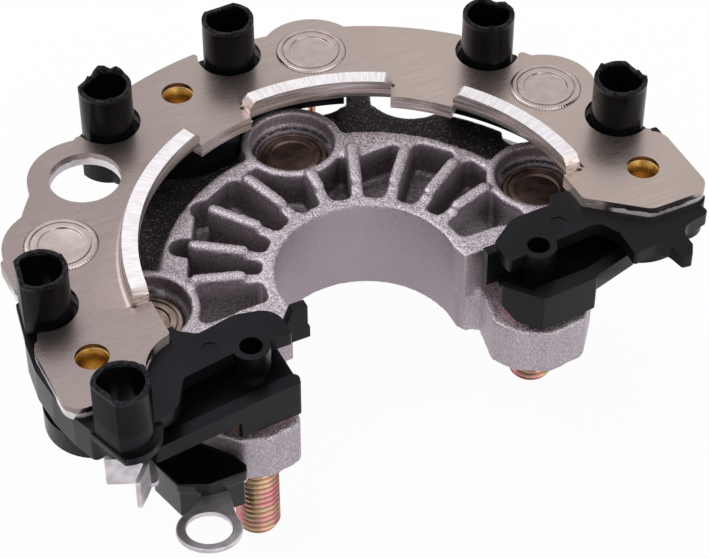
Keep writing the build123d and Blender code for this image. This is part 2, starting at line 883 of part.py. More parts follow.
def make_capacitor():
    """Case, lid, winding, strap and ring terminal of the capacitor."""
    case_bottom = case_top - case_height
    split = case_top - lid_thick
    strap_top = lug_bottom
    with BuildPart() as strap:
        with BuildSketch(Plane.XY.offset(strap_top - terminal_thick)):
            add(thick_path(strap_path, strap_width))
            add(discs(strap_eye_radius, stud_places[:1]))
            add(discs(shank_radius, stud_places[:1]), mode=Mode.SUBTRACT)
        extrude(amount=terminal_thick)
    tilt = Plane(
        origin=(*neck_place, split - terminal_thick),
        x_dir=(neck_run[1], -neck_run[0], 0),
        z_dir=(-neck_run[0] * ring_drop, -neck_run[1] * ring_drop, 1),
    )
    with BuildPart() as ring:
        with BuildSketch(tilt):
            with Locations((0, ring_reach)):
                Circle(ring_radius)
            with BuildLine():
                Polyline(
                    (-neck_width / 2, -neck_inside),
                    (neck_width / 2, -neck_inside),
                    (ring_radius * 0.8, ring_reach - ring_radius * 0.5),
                    (-ring_radius * 0.8, ring_reach - ring_radius * 0.5),
                    close=True,
                )
            make_face()
            with Locations((0, ring_reach)):
                Circle(ring_hole, mode=Mode.SUBTRACT)
        extrude(amount=-terminal_thick)
    with BuildPart() as lid:
        add(block(split, case_top, outline(case_outline)))
    with BuildPart() as case:
        add(block(case_bottom, split, offset(outline(case_outline), amount=-lid_room)))
        add(
            block(case_bottom + case_wall, split, offset(outline(case_outline), amount=-lid_room - case_wall)),
            mode=Mode.SUBTRACT,
        )
        add(strap.part, mode=Mode.SUBTRACT)
        add(ring.part, mode=Mode.SUBTRACT)
    with BuildPart() as winding:
        add(block(case_bottom + case_wall, split, offset(outline(case_outline), amount=-lid_room - case_wall)))
        add(strap.part, mode=Mode.SUBTRACT)
        add(ring.part, mode=Mode.SUBTRACT)
    return case, lid, winding, strap, ring


def keep(name, piece):
    """Label a finished piece and write it to its file."""
    piece.part.label = name
    export_step(piece.part, "parts/" + name + ".step")


os.makedirs("parts", exist_ok=True)
keep("negative_heat_sink", make_negative_heat_sink())
keep("positive_heat_sink", make_positive_heat_sink())
for name, angle in negative_angles.items():
    cup, lead, potting = make_diode(polar(pitch_radius, angle), diode_proud)
    keep("negative_cup_" + name, cup)
    keep("negative_lead_" + name, lead)
    keep("negative_potting_" + name, potting)
    cup, lead, potting = make_diode(polar(*positive_places[name]), positive_top)
    keep("positive_cup_" + name, cup)
    keep("positive_lead_" + name, lead)
    keep("positive_potting_" + name, potting)
    keep("phase_strip_" + name, make_strip(name))
keep("terminal_block_left", make_end_block(-1))
keep("terminal_block_center", make_center_block())
keep("terminal_block_right", make_end_block(1))
keep("tubular_rivets", make_rivets())
keep("insulating_bushes", make_bushes())
thread_start = lug_bottom - thread_runout
keep("battery_stud", make_stud(-1, battery_stud_end, thread_start - terminal_thick))
keep("auxiliary_stud", make_stud(1, auxiliary_stud_end, thread_start))
case, lid, winding, strap, ring = make_capacitor()
keep("capacitor_case", case)
keep("capacitor_lid", lid)
keep("capacitor_winding", winding)
keep("capacitor_strap", strap)
keep("ring_terminal", ring)
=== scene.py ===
"""Alternator rectifier in a plain studio: surfaces, finishes, floor, light and camera.

The solids are the fixed frame. Pieces made here stand where the solids stand: turned pieces are
profiles carried round an axis, the studs are helical surfaces, and cast or moulded pieces are
softened skins of their solids. Lengths are in millimetres until they go into a mesh.
"""

from math import cos, pi, radians, sin

import bmesh
import bpy
import numpy as np
from mathutils import Matrix, Vector


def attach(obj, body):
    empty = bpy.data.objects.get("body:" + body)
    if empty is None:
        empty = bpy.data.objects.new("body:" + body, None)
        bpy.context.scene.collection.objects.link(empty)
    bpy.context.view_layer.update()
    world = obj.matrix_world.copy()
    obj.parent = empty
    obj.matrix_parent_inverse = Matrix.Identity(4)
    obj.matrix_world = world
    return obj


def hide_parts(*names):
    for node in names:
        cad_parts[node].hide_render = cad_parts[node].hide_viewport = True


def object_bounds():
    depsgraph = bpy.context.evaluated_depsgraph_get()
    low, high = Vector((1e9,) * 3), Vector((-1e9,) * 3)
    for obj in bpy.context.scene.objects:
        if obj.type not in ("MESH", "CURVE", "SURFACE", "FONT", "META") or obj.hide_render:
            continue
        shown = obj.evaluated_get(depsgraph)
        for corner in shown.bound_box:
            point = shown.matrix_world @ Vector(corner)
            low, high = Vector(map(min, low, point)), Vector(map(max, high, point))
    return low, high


bl_info = {
    "name": "Alternator rectifier",
    "version": (1, 0, 0),
    "blender": (4, 5, 0),
    "location": "View3D > Sidebar > Rectifier",
    "description": "Dresses the rectifier's solids with surfaces, finishes and a studio",
    "category": "Mesh",
}

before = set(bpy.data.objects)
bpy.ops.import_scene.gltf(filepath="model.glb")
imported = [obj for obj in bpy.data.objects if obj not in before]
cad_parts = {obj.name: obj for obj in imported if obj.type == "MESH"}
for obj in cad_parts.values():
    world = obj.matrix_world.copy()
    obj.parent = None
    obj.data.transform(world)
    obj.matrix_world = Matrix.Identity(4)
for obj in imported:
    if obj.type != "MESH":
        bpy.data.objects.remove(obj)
solid_low, solid_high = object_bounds()

MM = 0.001
BODY = "root"
IMAGE_WIDTH = 709

# Places shared with the solids, in millimetres and degrees from +Y towards -X
PITCH_RADIUS = 51.5
NEGATIVE_ANGLES = {"left": 64.4, "center": -14.7, "right": -64.7}
POSITIVE_PLACES = {"left": (38.3, 78.3), "center": (35.1, -3.6), "right": (38.3, -78.3)}
RIVET_ANGLES = (94.5, 15.2, -94.5)
STUD_PLACE = (26.7, -11.3)
THREAD_RADIUS = 3.9
TUBE_PITCH = 55.2
TUBE_ANGLES = (110.0, 79.6, 30.1, 0.9, -49.6, -79.8)
TUBE_TOP = 8.6
SIDES = ("left", "center", "right")

# Radii and heights of the solids that the finishes follow, in millimetres
LIP_RADIUS = 42.0
LIP_CREST = 2.7
BORE_RADIUS = 17.15
WELL_RADII = (17.5, 34.6)
WELL_HEIGHTS = (-6.4, -9.6)
SHELF_RADIUS = 35.8
SHELF_HEIGHTS = (-13.0, -8.6)
ARM_END = -3.2

# Point of the plate's plane in the middle of the picture, in millimetres
CAMERA_AIM = (-5.74, -6.71, 0.0)


def polar(radius, angle):
    """Point at a radius and an angle from +Y towards -X."""
    return (-radius * sin(radians(angle)), radius * cos(radians(angle)))


def tint(red, green, blue):
    """Screen colour of 0 to 255 as the linear colour that a shader takes."""
    screen = np.array([red, green, blue]) / 255
    linear = np.where(screen <= 0.04045, screen / 12.92, ((screen + 0.055) / 1.055) ** 2.4)
    return (*linear.tolist(), 1.0)


# Meshes


def grid_faces(rows, columns, wrap_rows):
    """Quads between neighbouring points of a grid, whose columns close on themselves."""
    quad_rows = rows if wrap_rows else rows - 1
    row, column = np.meshgrid(np.arange(quad_rows), np.arange(columns), indexing="ij")
    next_row = (row + 1) % rows
    next_column = (column + 1) % columns
    corners = [
        row * columns + column,
        row * columns + next_column,
        next_row * columns + next_column,
        next_row * columns + column,
    ]
    return np.stack(corners, -1).reshape(-1, 4)


def clean_mesh(mesh):
    """Merge doubled points, which closes seams and poles, and turn the faces outwards."""
    work = bmesh.new()
    work.from_mesh(mesh)
    bmesh.ops.remove_doubles(work, verts=work.verts, dist=1e-7)
    bmesh.ops.recalc_face_normals(work, faces=work.faces)
    work.to_mesh(mesh)
    work.free()
    return mesh


def surfaces_mesh(name, grids):
    """Closed surfaces as one mesh, from pairs of a grid of points and whether its rows close."""
    points, faces, start = [], [], 0
    for grid, wrap_rows in grids:
        rows, columns, _ = grid.shape
        points.append(grid.reshape(-1, 3) * MM)
        faces.append(grid_faces(rows, columns, wrap_rows) + start)
        start += rows * columns
    mesh = bpy.data.meshes.new(name)
    mesh.from_pydata(np.concatenate(points), [], np.concatenate(faces))
    return clean_mesh(mesh)


def rounded(corners, closed, steps=5):
    """Profile through corners given as radius, height and rounding.

    A rounded corner is a quadratic curve from one side to the other.
    """
    places = np.array([corner[:2] for corner in corners], float)
    share = np.linspace(0, 1, steps)[:, None]
    profile = []
    for i, (_, _, size) in enumerate(corners):
        here = places[i]
        if size == 0 or (not closed and i in (0, len(corners) - 1)):
            profile.append(here[None])
            continue
        before = places[i - 1] - here
        after = places[(i + 1) % len(corners)] - here
        enter = here + before * min(size / np.linalg.norm(before), 0.49)
        leave = here + after * min(size / np.linalg.norm(after), 0.49)
        curve = (1 - share) ** 2 * enter + 2 * share * (1 - share) * here + share ** 2 * leave
        profile.append(curve)
    return np.concatenate(profile)


def round_turn(steps):
    """Angles of one turn, as a row."""
    return np.linspace(0, 2 * pi, steps, endpoint=False)[None, :]


def round_axis(place, angle, radius, height):
    """Points at an angle, a radius and a height round an upright axis."""
    x = place[0] + radius * np.cos(angle)
    y = place[1] + radius * np.sin(angle)
    return np.stack([x, y, height + 0 * x], -1)


def turned(place, profile, steps, wave=None):
    """Profile of radii and heights carried round an upright axis.

    The wave, if any, gives the radius from the angle and the profile's radius.
    """
    angle = round_turn(steps)
    radius = profile[:, :1] + 0 * angle
    if wave:
        radius = wave(angle, radius)
    return round_axis(place, angle, radius, profile[:, 1:])


def merged_copy(node):
    """Working copy of a solid's mesh in which its loose triangles share points."""
    work = bmesh.new()
    work.from_mesh(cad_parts[node].data)
    bmesh.ops.remove_doubles(work, verts=work.verts, dist=2e-6)
    return work


def settle(name, mesh, material, nodes, crease=30):
    """Object at the origin that rides on the part and stands for its solids, if it has any."""
    mesh.materials.clear()
    mesh.materials.append(material)
    mesh.shade_smooth()
    mesh.set_sharp_from_angle(angle=radians(crease))
    piece = bpy.data.objects.new(name, mesh)
    bpy.context.scene.collection.objects.link(piece)
    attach(piece, BODY)
    if nodes:
        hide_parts(*nodes)
    return piece


def edged(name, node, material, width, segments=2):
    """Skin of a solid whose sharp edges are broken by a small bevel."""
    flat, sharp = radians(0.6), radians(32)
    work = merged_copy(node)
    bmesh.ops.dissolve_limit(work, angle_limit=flat, verts=work.verts, edges=work.edges)
    mesh = bpy.data.meshes.new(name)
    work.to_mesh(mesh)
    work.free()
    piece = settle(name, mesh, material, [node])
    bevel = piece.modifiers.new("broken_edges", "BEVEL")
    bevel.width = width * MM
    bevel.segments = segments
    bevel.limit_method = "ANGLE"
    bevel.angle_limit = sharp
    return piece


def softened(name, node, material, cell, passes):
    """Skin of a cast or moulded solid, remade in even cells and smoothed at its edges."""
    work = merged_copy(node)
    mesh = bpy.data.meshes.new(name + "_rough")
    work.to_mesh(mesh)
    work.free()
    rough = bpy.data.objects.new(name + "_rough", mesh)
    bpy.context.scene.collection.objects.link(rough)
    remesh = rough.modifiers.new("even_cells", "REMESH")
    remesh.mode = "VOXEL"
    remesh.voxel_size = cell * MM
    smooth = rough.modifiers.new("soft_edges", "SMOOTH")
    smooth.factor = 0.5
    smooth.iterations = passes
    graph = bpy.context.evaluated_depsgraph_get()
    skin = bpy.data.meshes.new_from_object(rough.evaluated_get(graph))
    skin.name = name
    bpy.data.objects.remove(rough)
    return settle(name, skin, material, [node], crease=180)


# Finishes


class Finish:
    """Node tree of one material, built round its principled shader."""

    def __init__(self, name, color, metallic, roughness, **sockets):
        self.material = bpy.data.materials.new(name)
        self.material.use_nodes = True
        self.tree = self.material.node_tree
        self.shader = self.tree.nodes["Principled BSDF"]
        self.shader.inputs["Base Color"].default_value = color
        self.shader.inputs["Metallic"].default_value = metallic
        self.shader.inputs["Roughness"].default_value = roughness
        for socket, value in sockets.items():
            self.shader.inputs[socket.replace("_", " ")].default_value = value
        self.place = self.node("ShaderNodeTexCoord").outputs["Object"]

    def node(self, kind, **inputs):
        """New node whose inputs are set or linked by name."""
        made = self.tree.nodes.new(kind)
        for name, value in inputs.items():
            self.feed(made.inputs[name], value)
        return made

    def feed(self, socket, value):
        """Link an output to a socket, or set the socket to a value."""
        if isinstance(value, bpy.types.NodeSocket):
            self.tree.links.new(value, socket)
        else:
            socket.default_value = value

    def stretched(self, scale):
        """Object coordinates scaled along each axis, in cells for each millimetre."""
        mapping = self.node("ShaderNodeMapping", Vector=self.place)
        mapping.inputs["Scale"].default_value = [value / MM for value in scale]
        return mapping.outputs["Vector"]

    def noise(self, scale, detail=3.0, vector=None):
        """Cloudy pattern; scale is in cells for each millimetre, or stretched on a vector."""
        if vector is None:
            vector = self.stretched((scale, scale, scale))
            scale = 1.0
        made = self.node("ShaderNodeTexNoise", Vector=vector, Scale=scale, Detail=detail)
        return made.outputs["Fac"]

    def math(self, operation, first, second=0.0):
        """One arithmetic step between two values."""
        made = self.tree.nodes.new("ShaderNodeMath")
        made.operation = operation
        self.feed(made.inputs[0], first)
        self.feed(made.inputs[1], second)
        return made.outputs[0]

    def times(self, first, second):
        """Product of two values."""
        return self.math("MULTIPLY", first, second)

    def span(self, value, low, high, to_low=0.0, to_high=1.0):
        """Value from one range carried to another, and held within it."""
        made = self.node("ShaderNodeMapRange", Value=value)
        limits = {"From Min": low, "From Max": high, "To Min": to_low, "To Max": to_high}
        for name, limit in limits.items():
            made.inputs[name].default_value = limit
        return made.outputs[0]

    def blend(self, share, first, second, kind="MIX"):
        """Colour between two colours, or their product if the kind is MULTIPLY."""
        made = self.tree.nodes.new("ShaderNodeMix")
        made.data_type = "RGBA"
        made.blend_type = kind
        self.feed(made.inputs[0], share)
        self.feed(made.inputs[6], first)
        self.feed(made.inputs[7], second)
        return made.outputs[2]

    def axis(self, vector, name):
        """One component of a vector."""
        return self.node("ShaderNodeSeparateXYZ", Vector=vector).outputs[name]

    def radius(self, x=0.0, y=0.0):
        """Distance in metres from an upright axis, which is repeated at the opposite x."""
        across = self.math("ABSOLUTE", self.axis(self.place, "X"))
        flat = self.node(
            "ShaderNodeCombineXYZ",
            X=self.math("SUBTRACT", across, x * MM),
            Y=self.math("SUBTRACT", self.axis(self.place, "Y"), y * MM),
        )
        length = self.tree.nodes.new("ShaderNodeVectorMath")
        length.operation = "LENGTH"
        self.feed(length.inputs[0], flat.outputs["Vector"])
        return length.outputs["Value"]

    def round_place(self, along, up, out):
        """Place as arc at the pitch radius, height and radius, in cells for each millimetre."""
        angle = self.math("ARCTAN2", self.axis(self.place, "X"), self.axis(self.place, "Y"))
        made = self.node(
            "ShaderNodeCombineXYZ",
            X=self.times(angle, along * PITCH_RADIUS),
            Y=self.times(self.axis(self.place, "Z"), up / MM),
            Z=self.times(self.radius(), out / MM),
        )
        return made.outputs["Vector"]

    def past(self, value, place, soft):
        """Share that goes from 0 to 1 round a place in millimetres, or back if soft is negative."""
        return self.span(value, (place - soft) * MM, (place + soft) * MM)

    def between(self, value, limits, soft):
        """Share that is 1 inside a range in millimetres and fades out over a soft border."""
        low, high = limits
        return self.times(self.past(value, low, soft), self.past(value, high, -soft))

    def shift(self, share, first, second):
        """Value between two values."""
        change = self.math("SUBTRACT", second, first)
        return self.math("ADD", first, self.times(share, change))

    def dyed(self, color, dye):
        """Colour multiplied by the dye from the settings."""
        return self.blend(1.0, color, (*dye, 1.0), "MULTIPLY")

    def normal(self):
        """The surface's own direction."""
        return self.node("ShaderNodeNewGeometry").outputs["Normal"]

    def bump(self, height, strength, depth, after=None):
        """Relief of a given depth in millimetres, laid over an earlier one."""
        made = self.node("ShaderNodeBump", Height=height, Strength=strength, Distance=depth * MM)
        if after is not None:
            self.feed(made.inputs["Normal"], after)
        return made.outputs["Normal"]

    def out(self, **sockets):
        """Link results to the principled shader and hand over the material."""
        for socket, value in sockets.items():
            self.feed(self.shader.inputs[socket.replace("_", " ")], value)
        return self.material


def plate_finish(settings):
    """Brushed sheet; its lips are scored along their length and its sheared faces are pale."""
    look = Finish("brushed_plate", tint(186, 170, 165), 1.0, 0.3)
    level = look.math("ABSOLUTE", look.axis(look.normal(), "Z"))
    height = look.axis(look.place, "Z")
    wall = look.span(level, 0.8, 0.5)

    # Brushing runs along X on the flat and round the axis on the walls
    along = look.noise(1.0, 4.0, look.stretched((0.09, 5.0, 0.5)))
    round_wide = look.noise(1.0, 4.0, look.round_place(0.05, 4.5, 0.6))
    round_narrow = look.noise(1.0, 3.0, look.round_place(0.09, 3.0, 0.4))
    streaks = look.shift(wall, along, round_wide)
    fine = look.noise(1.0, 2.0, look.stretched((0.4, 14.0, 1.0)))
    fine = look.shift(wall, fine, round_narrow)
    # Painted shade: the sheet's shades are darker towards its left end, as the light falls across it
    across = look.span(look.axis(look.place, "X"), -60 * MM, 30 * MM)
    pale = look.blend(across, tint(161, 147, 145), tint(202, 186, 179))
    deep = look.blend(across, tint(148, 134, 133), tint(188, 171, 165))
    color = look.blend(look.span(streaks, 0.35, 0.65), deep, pale)
    cloud = look.noise(0.045, 2.0)
    color = look.blend(look.span(cloud, 0.4, 0.7, 0.0, 0.5), color, deep)

    # Faces of the lips
    lip = look.past(look.radius(), LIP_RADIUS, -0.4)
    standing = look.times(lip, wall)
    face = look.blend(look.span(round_wide, 0.36, 0.5), tint(140, 120, 110), tint(220, 206, 198))
    face = look.blend(look.span(round_narrow, 0.54, 0.64), face, tint(250, 246, 248))
    color = look.blend(look.times(standing, 0.9), color, face)

    # Outer edge: burnished above, torn white below
    rim = look.past(look.radius(), LIP_RADIUS + 1.0, 0.5)
    side = look.times(look.span(level, 0.3, 0.12), rim)
    color = look.blend(look.times(side, 0.45), color, tint(128, 113, 110))
    border = look.math("ADD", height, look.times(look.noise(0.5, 4.0), 1.4 * MM))
    torn = look.times(side, look.past(border, -0.525, -0.075))
    torn = look.times(torn, look.span(look.noise(0.07, 2.0), 0.3, 0.42))
    color = look.blend(torn, color, tint(242, 237, 240))

    # Sheared crests of the lips
    crest = look.times(look.past(height, LIP_CREST, 0.2), look.span(level, 0.35, 0.7))
    scratch = look.span(look.noise(1.0, 4.0, look.round_place(2.4, 0.4, 0.3)), 0.25, 0.62)
    crest_color = look.blend(scratch, tint(214, 207, 211), tint(243, 239, 242))
    color = look.blend(crest, color, crest_color)
    color = look.dyed(color, settings.dye)

    white = look.math("MAXIMUM", crest, torn)
    rough = look.math("ADD", look.span(fine, 0.3, 0.7, 0.24, 0.34), look.times(white, 0.3))
    metallic = look.shift(look.math("MAXIMUM", white, standing), 1.0, 0.7)
    relief = look.bump(look.math("ADD", streaks, fine), 0.16, 0.03)
    relief = look.bump(look.times(look.noise(2.2, 3.0), white), 0.35, 0.08, relief)
    return look.out(Base_Color=color, Roughness=rough, Metallic=metallic, Normal=relief)


def cast_finish(settings):
    """Blasted casting: bright and grainy on its outside, with painted glints on faces that look up,
    painted shade down in its pockets and a painted shadow of the plate on the shelf round the ribs.
    """
    look = Finish("cast_metal", tint(180, 168, 176), 0.9, 0.5)
    grain = look.noise(3.6, 2.0)
    coarse = look.noise(1.4, 2.0)
    speck = look.noise(2.8, 1.0)
    height = look.axis(look.place, "Z")
    radius = look.radius()
    facing = look.span(look.axis(look.normal(), "Z"), 0.3, 0.8)

    # Grain: bright points and dark pits, strongest on faces that look up; the bright points are
    # painted glints, brighter on faces that look up where the light falls from above
    cloud = look.noise(0.07, 3.0)
    color = look.blend(look.span(cloud, 0.3, 0.7), tint(158, 146, 155), tint(178, 166, 175))
    grain_and_painted_glint = look.times(look.span(grain, 0.46, 0.66), look.shift(facing, 0.45, 0.85))
    color = look.blend(grain_and_painted_glint, color, tint(236, 229, 234))
    pits = look.times(look.span(grain, 0.46, 0.3), look.shift(facing, 0.25, 0.6))
    color = look.blend(pits, color, tint(92, 82, 88))

    # Bore, below its rim
    bore = look.past(radius, BORE_RADIUS, -0.25)
    bore = look.times(bore, look.past(height, WELL_HEIGHTS[0] - 0.3, -0.3))
    color = look.blend(look.times(bore, 0.7), color, tint(158, 144, 153))

    # Painted shade down in the pockets between the ribs: a dull speckled grey where the walls keep
    # the light off
    inside = look.past(look.axis(look.place, "Y"), ARM_END, 0.4)
    low = look.times(look.span(height, WELL_HEIGHTS[0] * MM, WELL_HEIGHTS[1] * MM), inside)
    pocket_shade_share = look.times(look.between(radius, WELL_RADII, 0.25), low)
    painted_pocket_shade = look.blend(look.span(speck, 0.4, 0.7), tint(106, 98, 102), tint(160, 150, 155))
    color = look.blend(look.times(pocket_shade_share, 0.94), color, painted_pocket_shade)

    # Painted shadow of the plate over the shelf round the ribs: dark with pale specks, on faces that
    # look up
    shelf = look.past(radius, SHELF_RADIUS, 0.6)
    shelf = look.times(shelf, look.between(height, SHELF_HEIGHTS, 0.3))
    shelf = look.times(shelf, look.times(inside, facing))
    painted_shelf_shadow = look.blend(look.span(speck, 0.6, 0.72), tint(40, 37, 38), tint(168, 160, 164))
    color = look.blend(look.times(shelf, 0.94), color, painted_shelf_shadow)
    color = look.dyed(color, settings.dye)

    rough = look.span(grain, 0.3, 0.7, 0.42, 0.6)
    relief = look.bump(look.math("ADD", grain, coarse), 0.7, 0.13)
    return look.out(Base_Color=color, Roughness=rough, Normal=relief)


def moulding_finish(settings):
    """Black moulding with faint flow marks, rough and broken at the tubes' rims."""
    violet = tint(240, 236, 255)
    look = Finish("black_moulding", tint(16, 16, 18), 0.0, 0.3, Specular_Tint=violet)
    cloud = look.noise(0.12, 4.0)
    chips = look.noise(1.6, 4.0)
    height = look.axis(look.place, "Z")
    tube = look.past(height, 0.8, 0.6)
    rim = look.past(height, TUBE_TOP - 0.3, 0.3)
    color = look.blend(look.span(cloud, 0.35, 0.7), tint(7, 7, 9), tint(13, 12, 15))
    broken = look.times(rim, look.span(chips, 0.45, 0.6))
    color = look.blend(broken, color, tint(44, 41, 46))
    color = look.dyed(color, settings.dye)
    rough = look.math("ADD", look.span(cloud, 0.3, 0.7, 0.26, 0.4), look.times(rim, 0.2))
    rough = look.math("SUBTRACT", rough, look.times(tube, 0.08))
    gloss = look.shift(tube, 0.19, 0.12)
    relief = look.bump(look.noise(3.5, 2.0), 0.2, 0.03)
    relief = look.bump(look.times(chips, rim), 0.8, 0.3, relief)
    return look.out(Base_Color=color, Roughness=rough, Specular_IOR_Level=gloss, Normal=relief)


def plated_finish(name, dark, pale, metallic=1.0, roughness=0.3, mottling=1.0):
    """Plain metal or resin with a light mottling, used for cups, rivets, rings and strips."""
    look = Finish(name, pale, metallic, roughness)
    fine = look.noise(6.0, 2.0)
    low, high = 0.5 - 0.5 * mottling, 0.5 + 0.5 * mottling
    color = look.blend(look.span(look.noise(0.5, 4.0), 0.35, 0.65, low, high), dark, pale)
    rough = look.span(fine, 0.3, 0.7, roughness - 0.04, roughness + 0.08)
    relief = look.bump(fine, 0.12 * mottling, 0.02)
    return look.out(Base_Color=color, Roughness=rough, Normal=relief)


def stud_finish():
    """Pale yellow passivated steel, pink and green in places and dark down in the thread."""
    look = Finish("yellow_plating", tint(200, 178, 146), 1.0, 0.26)
    cloud = look.noise(0.3, 3.0)
    gold = look.blend(look.span(cloud, 0.38, 0.62), tint(188, 162, 122), tint(200, 126, 134))
    green = look.span(look.noise(0.55, 3.0), 0.54, 0.7, 0.0, 0.7)
    color = look.blend(green, gold, tint(148, 168, 118))
    groove = look.past(look.radius(*STUD_PLACE), THREAD_RADIUS - 0.325, -0.175)
    color = look.blend(look.times(groove, 0.75), color, tint(84, 48, 48))
    relief = look.bump(look.noise(5.0, 2.0), 0.2, 0.02)
    rough = look.span(cloud, 0.3, 0.7, 0.22, 0.34)
    return look.out(Base_Color=color, Roughness=rough, Normal=relief)


# Settings that a user would change


def dye_setting(name, thing):
    """Colour that multiplies a finish's own shades; white leaves them as they are."""
    return bpy.props.FloatVectorProperty(
        name=name, description="Multiplies the shades of the " + thing, subtype="COLOR",
        default=(1.0, 1.0, 1.0), min=0, max=1,
    )


class RectifierPlateSettings(bpy.types.PropertyGroup):
    """Sizes and colour of the stamped plate."""

    dye: dye_setting("Plate dye", "brushed sheet")
    edge: bpy.props.FloatProperty(
        name="Plate edge", description="Width of the broken edge in millimetres",
        default=0.85, min=0,
    )


class RectifierCastingSettings(bpy.types.PropertyGroup):
    """Sizes and colour of the casting."""

    dye: dye_setting("Casting dye", "cast metal")
    cell: bpy.props.FloatProperty(
        name="Cell", description="Size of the skin's cells in millimetres", default=0.465, min=0.2,
    )
    passes: bpy.props.IntProperty(
        name="Smoothing", description="Smoothing passes that round the edges", default=4, min=0,
    )


class RectifierMouldingSettings(bpy.types.PropertyGroup):
    """Sizes and colour of the black mouldings."""

    dye: dye_setting("Moulding dye", "black mouldings")
    edge: bpy.props.FloatProperty(
        name="Moulding edge", description="Width of the broken edge in millimetres",
        default=0.16, min=0,
    )


class RectifierDiodeSettings(bpy.types.PropertyGroup):
    """Sizes of the pressed-in diodes."""

    knurls: bpy.props.IntProperty(
        name="Knurls", description="Ridges round each cup", default=72, min=12,
    )
    knurl_depth: bpy.props.FloatProperty(
        name="Knurl depth", description="Depth of the ridges in millimetres", default=0.14, min=0,
    )


class RectifierStudSettings(bpy.types.PropertyGroup):
    """Thread of the terminal studs."""

    thread_pitch: bpy.props.FloatProperty(
        name="Thread pitch", description="Distance between turns in millimetres",
        default=1.25, min=0.4,
    )
    thread_depth: bpy.props.FloatProperty(
        name="Thread depth", description="Depth of the thread in millimetres",
        default=0.62, min=0.1,
    )


class RectifierStageSettings(bpy.types.PropertyGroup):
    """Floor, light and camera."""

    azimuth: bpy.props.FloatProperty(
        name="Azimuth", description="Camera's turn from the part's +Y", subtype="ANGLE",
        default=radians(26.1),
    )
    elevation: bpy.props.FloatProperty(
        name="Elevation", description="Camera's height above the horizon", subtype="ANGLE",
        default=radians(44.879),
    )
    distance: bpy.props.FloatProperty(
        name="Distance", description="From the camera to the point it looks at", unit="LENGTH",
        default=404.24 * MM,
    )
    focal_pixels: bpy.props.FloatProperty(
        name="Focal length", description="In pixels of the 709 wide picture", default=2439.65,
    )
    world_strength: bpy.props.FloatProperty(
        name="Tent", description="Brightness of the surrounding light", default=0.62, min=0,
    )


# Operators


class RECTIFIER_OT_plate(bpy.types.Operator):
    """Stamped plate: the solid's skin with rolled edges and a brushed finish."""

    bl_idname = "rectifier.plate"
    bl_label = "Stamped plate"

    def execute(self, context):
        settings = context.scene.rectifier_plate
        material = plate_finish(settings)
        edged("stamped_plate", "negative_heat_sink", material, settings.edge, 3)
        return {"FINISHED"}


class RECTIFIER_OT_casting(bpy.types.Operator):
    """Casting: the solid's skin in even cells, rounded like a blasted casting."""

    bl_idname = "rectifier.casting"
    bl_label = "Casting"

    def execute(self, context):
        settings = context.scene.rectifier_casting
        material = cast_finish(settings)
        cell, passes = settings.cell, settings.passes
        softened("cast_hub", "positive_heat_sink", material, cell, passes)
        return {"FINISHED"}


class RECTIFIER_OT_mouldings(bpy.types.Operator):
    """Black mouldings: blocks with torn tube rims, bushes and the capacitor's case and lid."""

    bl_idname = "rectifier.mouldings"
    bl_label = "Mouldings"

    def execute(self, context):
        settings = context.scene.rectifier_moulding
        material = moulding_finish(settings)
        for side in SIDES:
            node = "terminal_block_" + side
            edged("wire_block_" + side, node, material, settings.edge)
        edged("rivet_bushes", "insulating_bushes", material, 0.4, 3)
        rims = surfaces_mesh("torn_rims", [self.torn_rim(angle) for angle in TUBE_ANGLES])
        settle("torn_rims", rims, material, [], crease=40)
        gloss = Finish("gloss_case", tint(7, 7, 9), 0.0, 0.2, Specular_IOR_Level=0.3).out()
        edged("capacitor_box", "capacitor_case", gloss, 0.3, 3)
        edged("capacitor_cover", "capacitor_lid", gloss, 0.35, 3)
        return {"FINISHED"}

    def torn_rim(self, tube_angle):
        """Ragged flash along the rim of a wire tube.

        The tube's walls are circles cut by a flat on the side away from the pitch circle's centre.
        The flash stands as high as a row of random tears, cubed so that few are tall, and joined
        by straight lines. Its foot goes a little way down into the wall.
        """
        outer_radius, outer_flat = 4.68, 3.68
        inner_radius, inner_flat = 3.87, 2.87
        tears, tallest, foot = 26, 0.95, -0.2
        angle = round_turn(144)
        outward = np.maximum(np.cos(angle - radians(tube_angle + 90)), 0.01)
        outer = np.minimum(outer_radius, outer_flat / outward)
        inner = np.minimum(inner_radius, inner_flat / outward)
        high = np.random.default_rng(int(tube_angle + 200)).random(tears) ** 3
        tear = np.interp(angle / (2 * pi) * tears, np.arange(tears + 1), np.append(high, high[0]))
        radius = np.concatenate([outer, outer - 0.12, inner + 0.2, inner])
        rise = np.concatenate([0 * tear + foot, tallest * tear, 0.6 * tear, 0 * tear + foot])
        return round_axis(polar(TUBE_PITCH, tube_angle), angle, radius, TUBE_TOP + rise), True


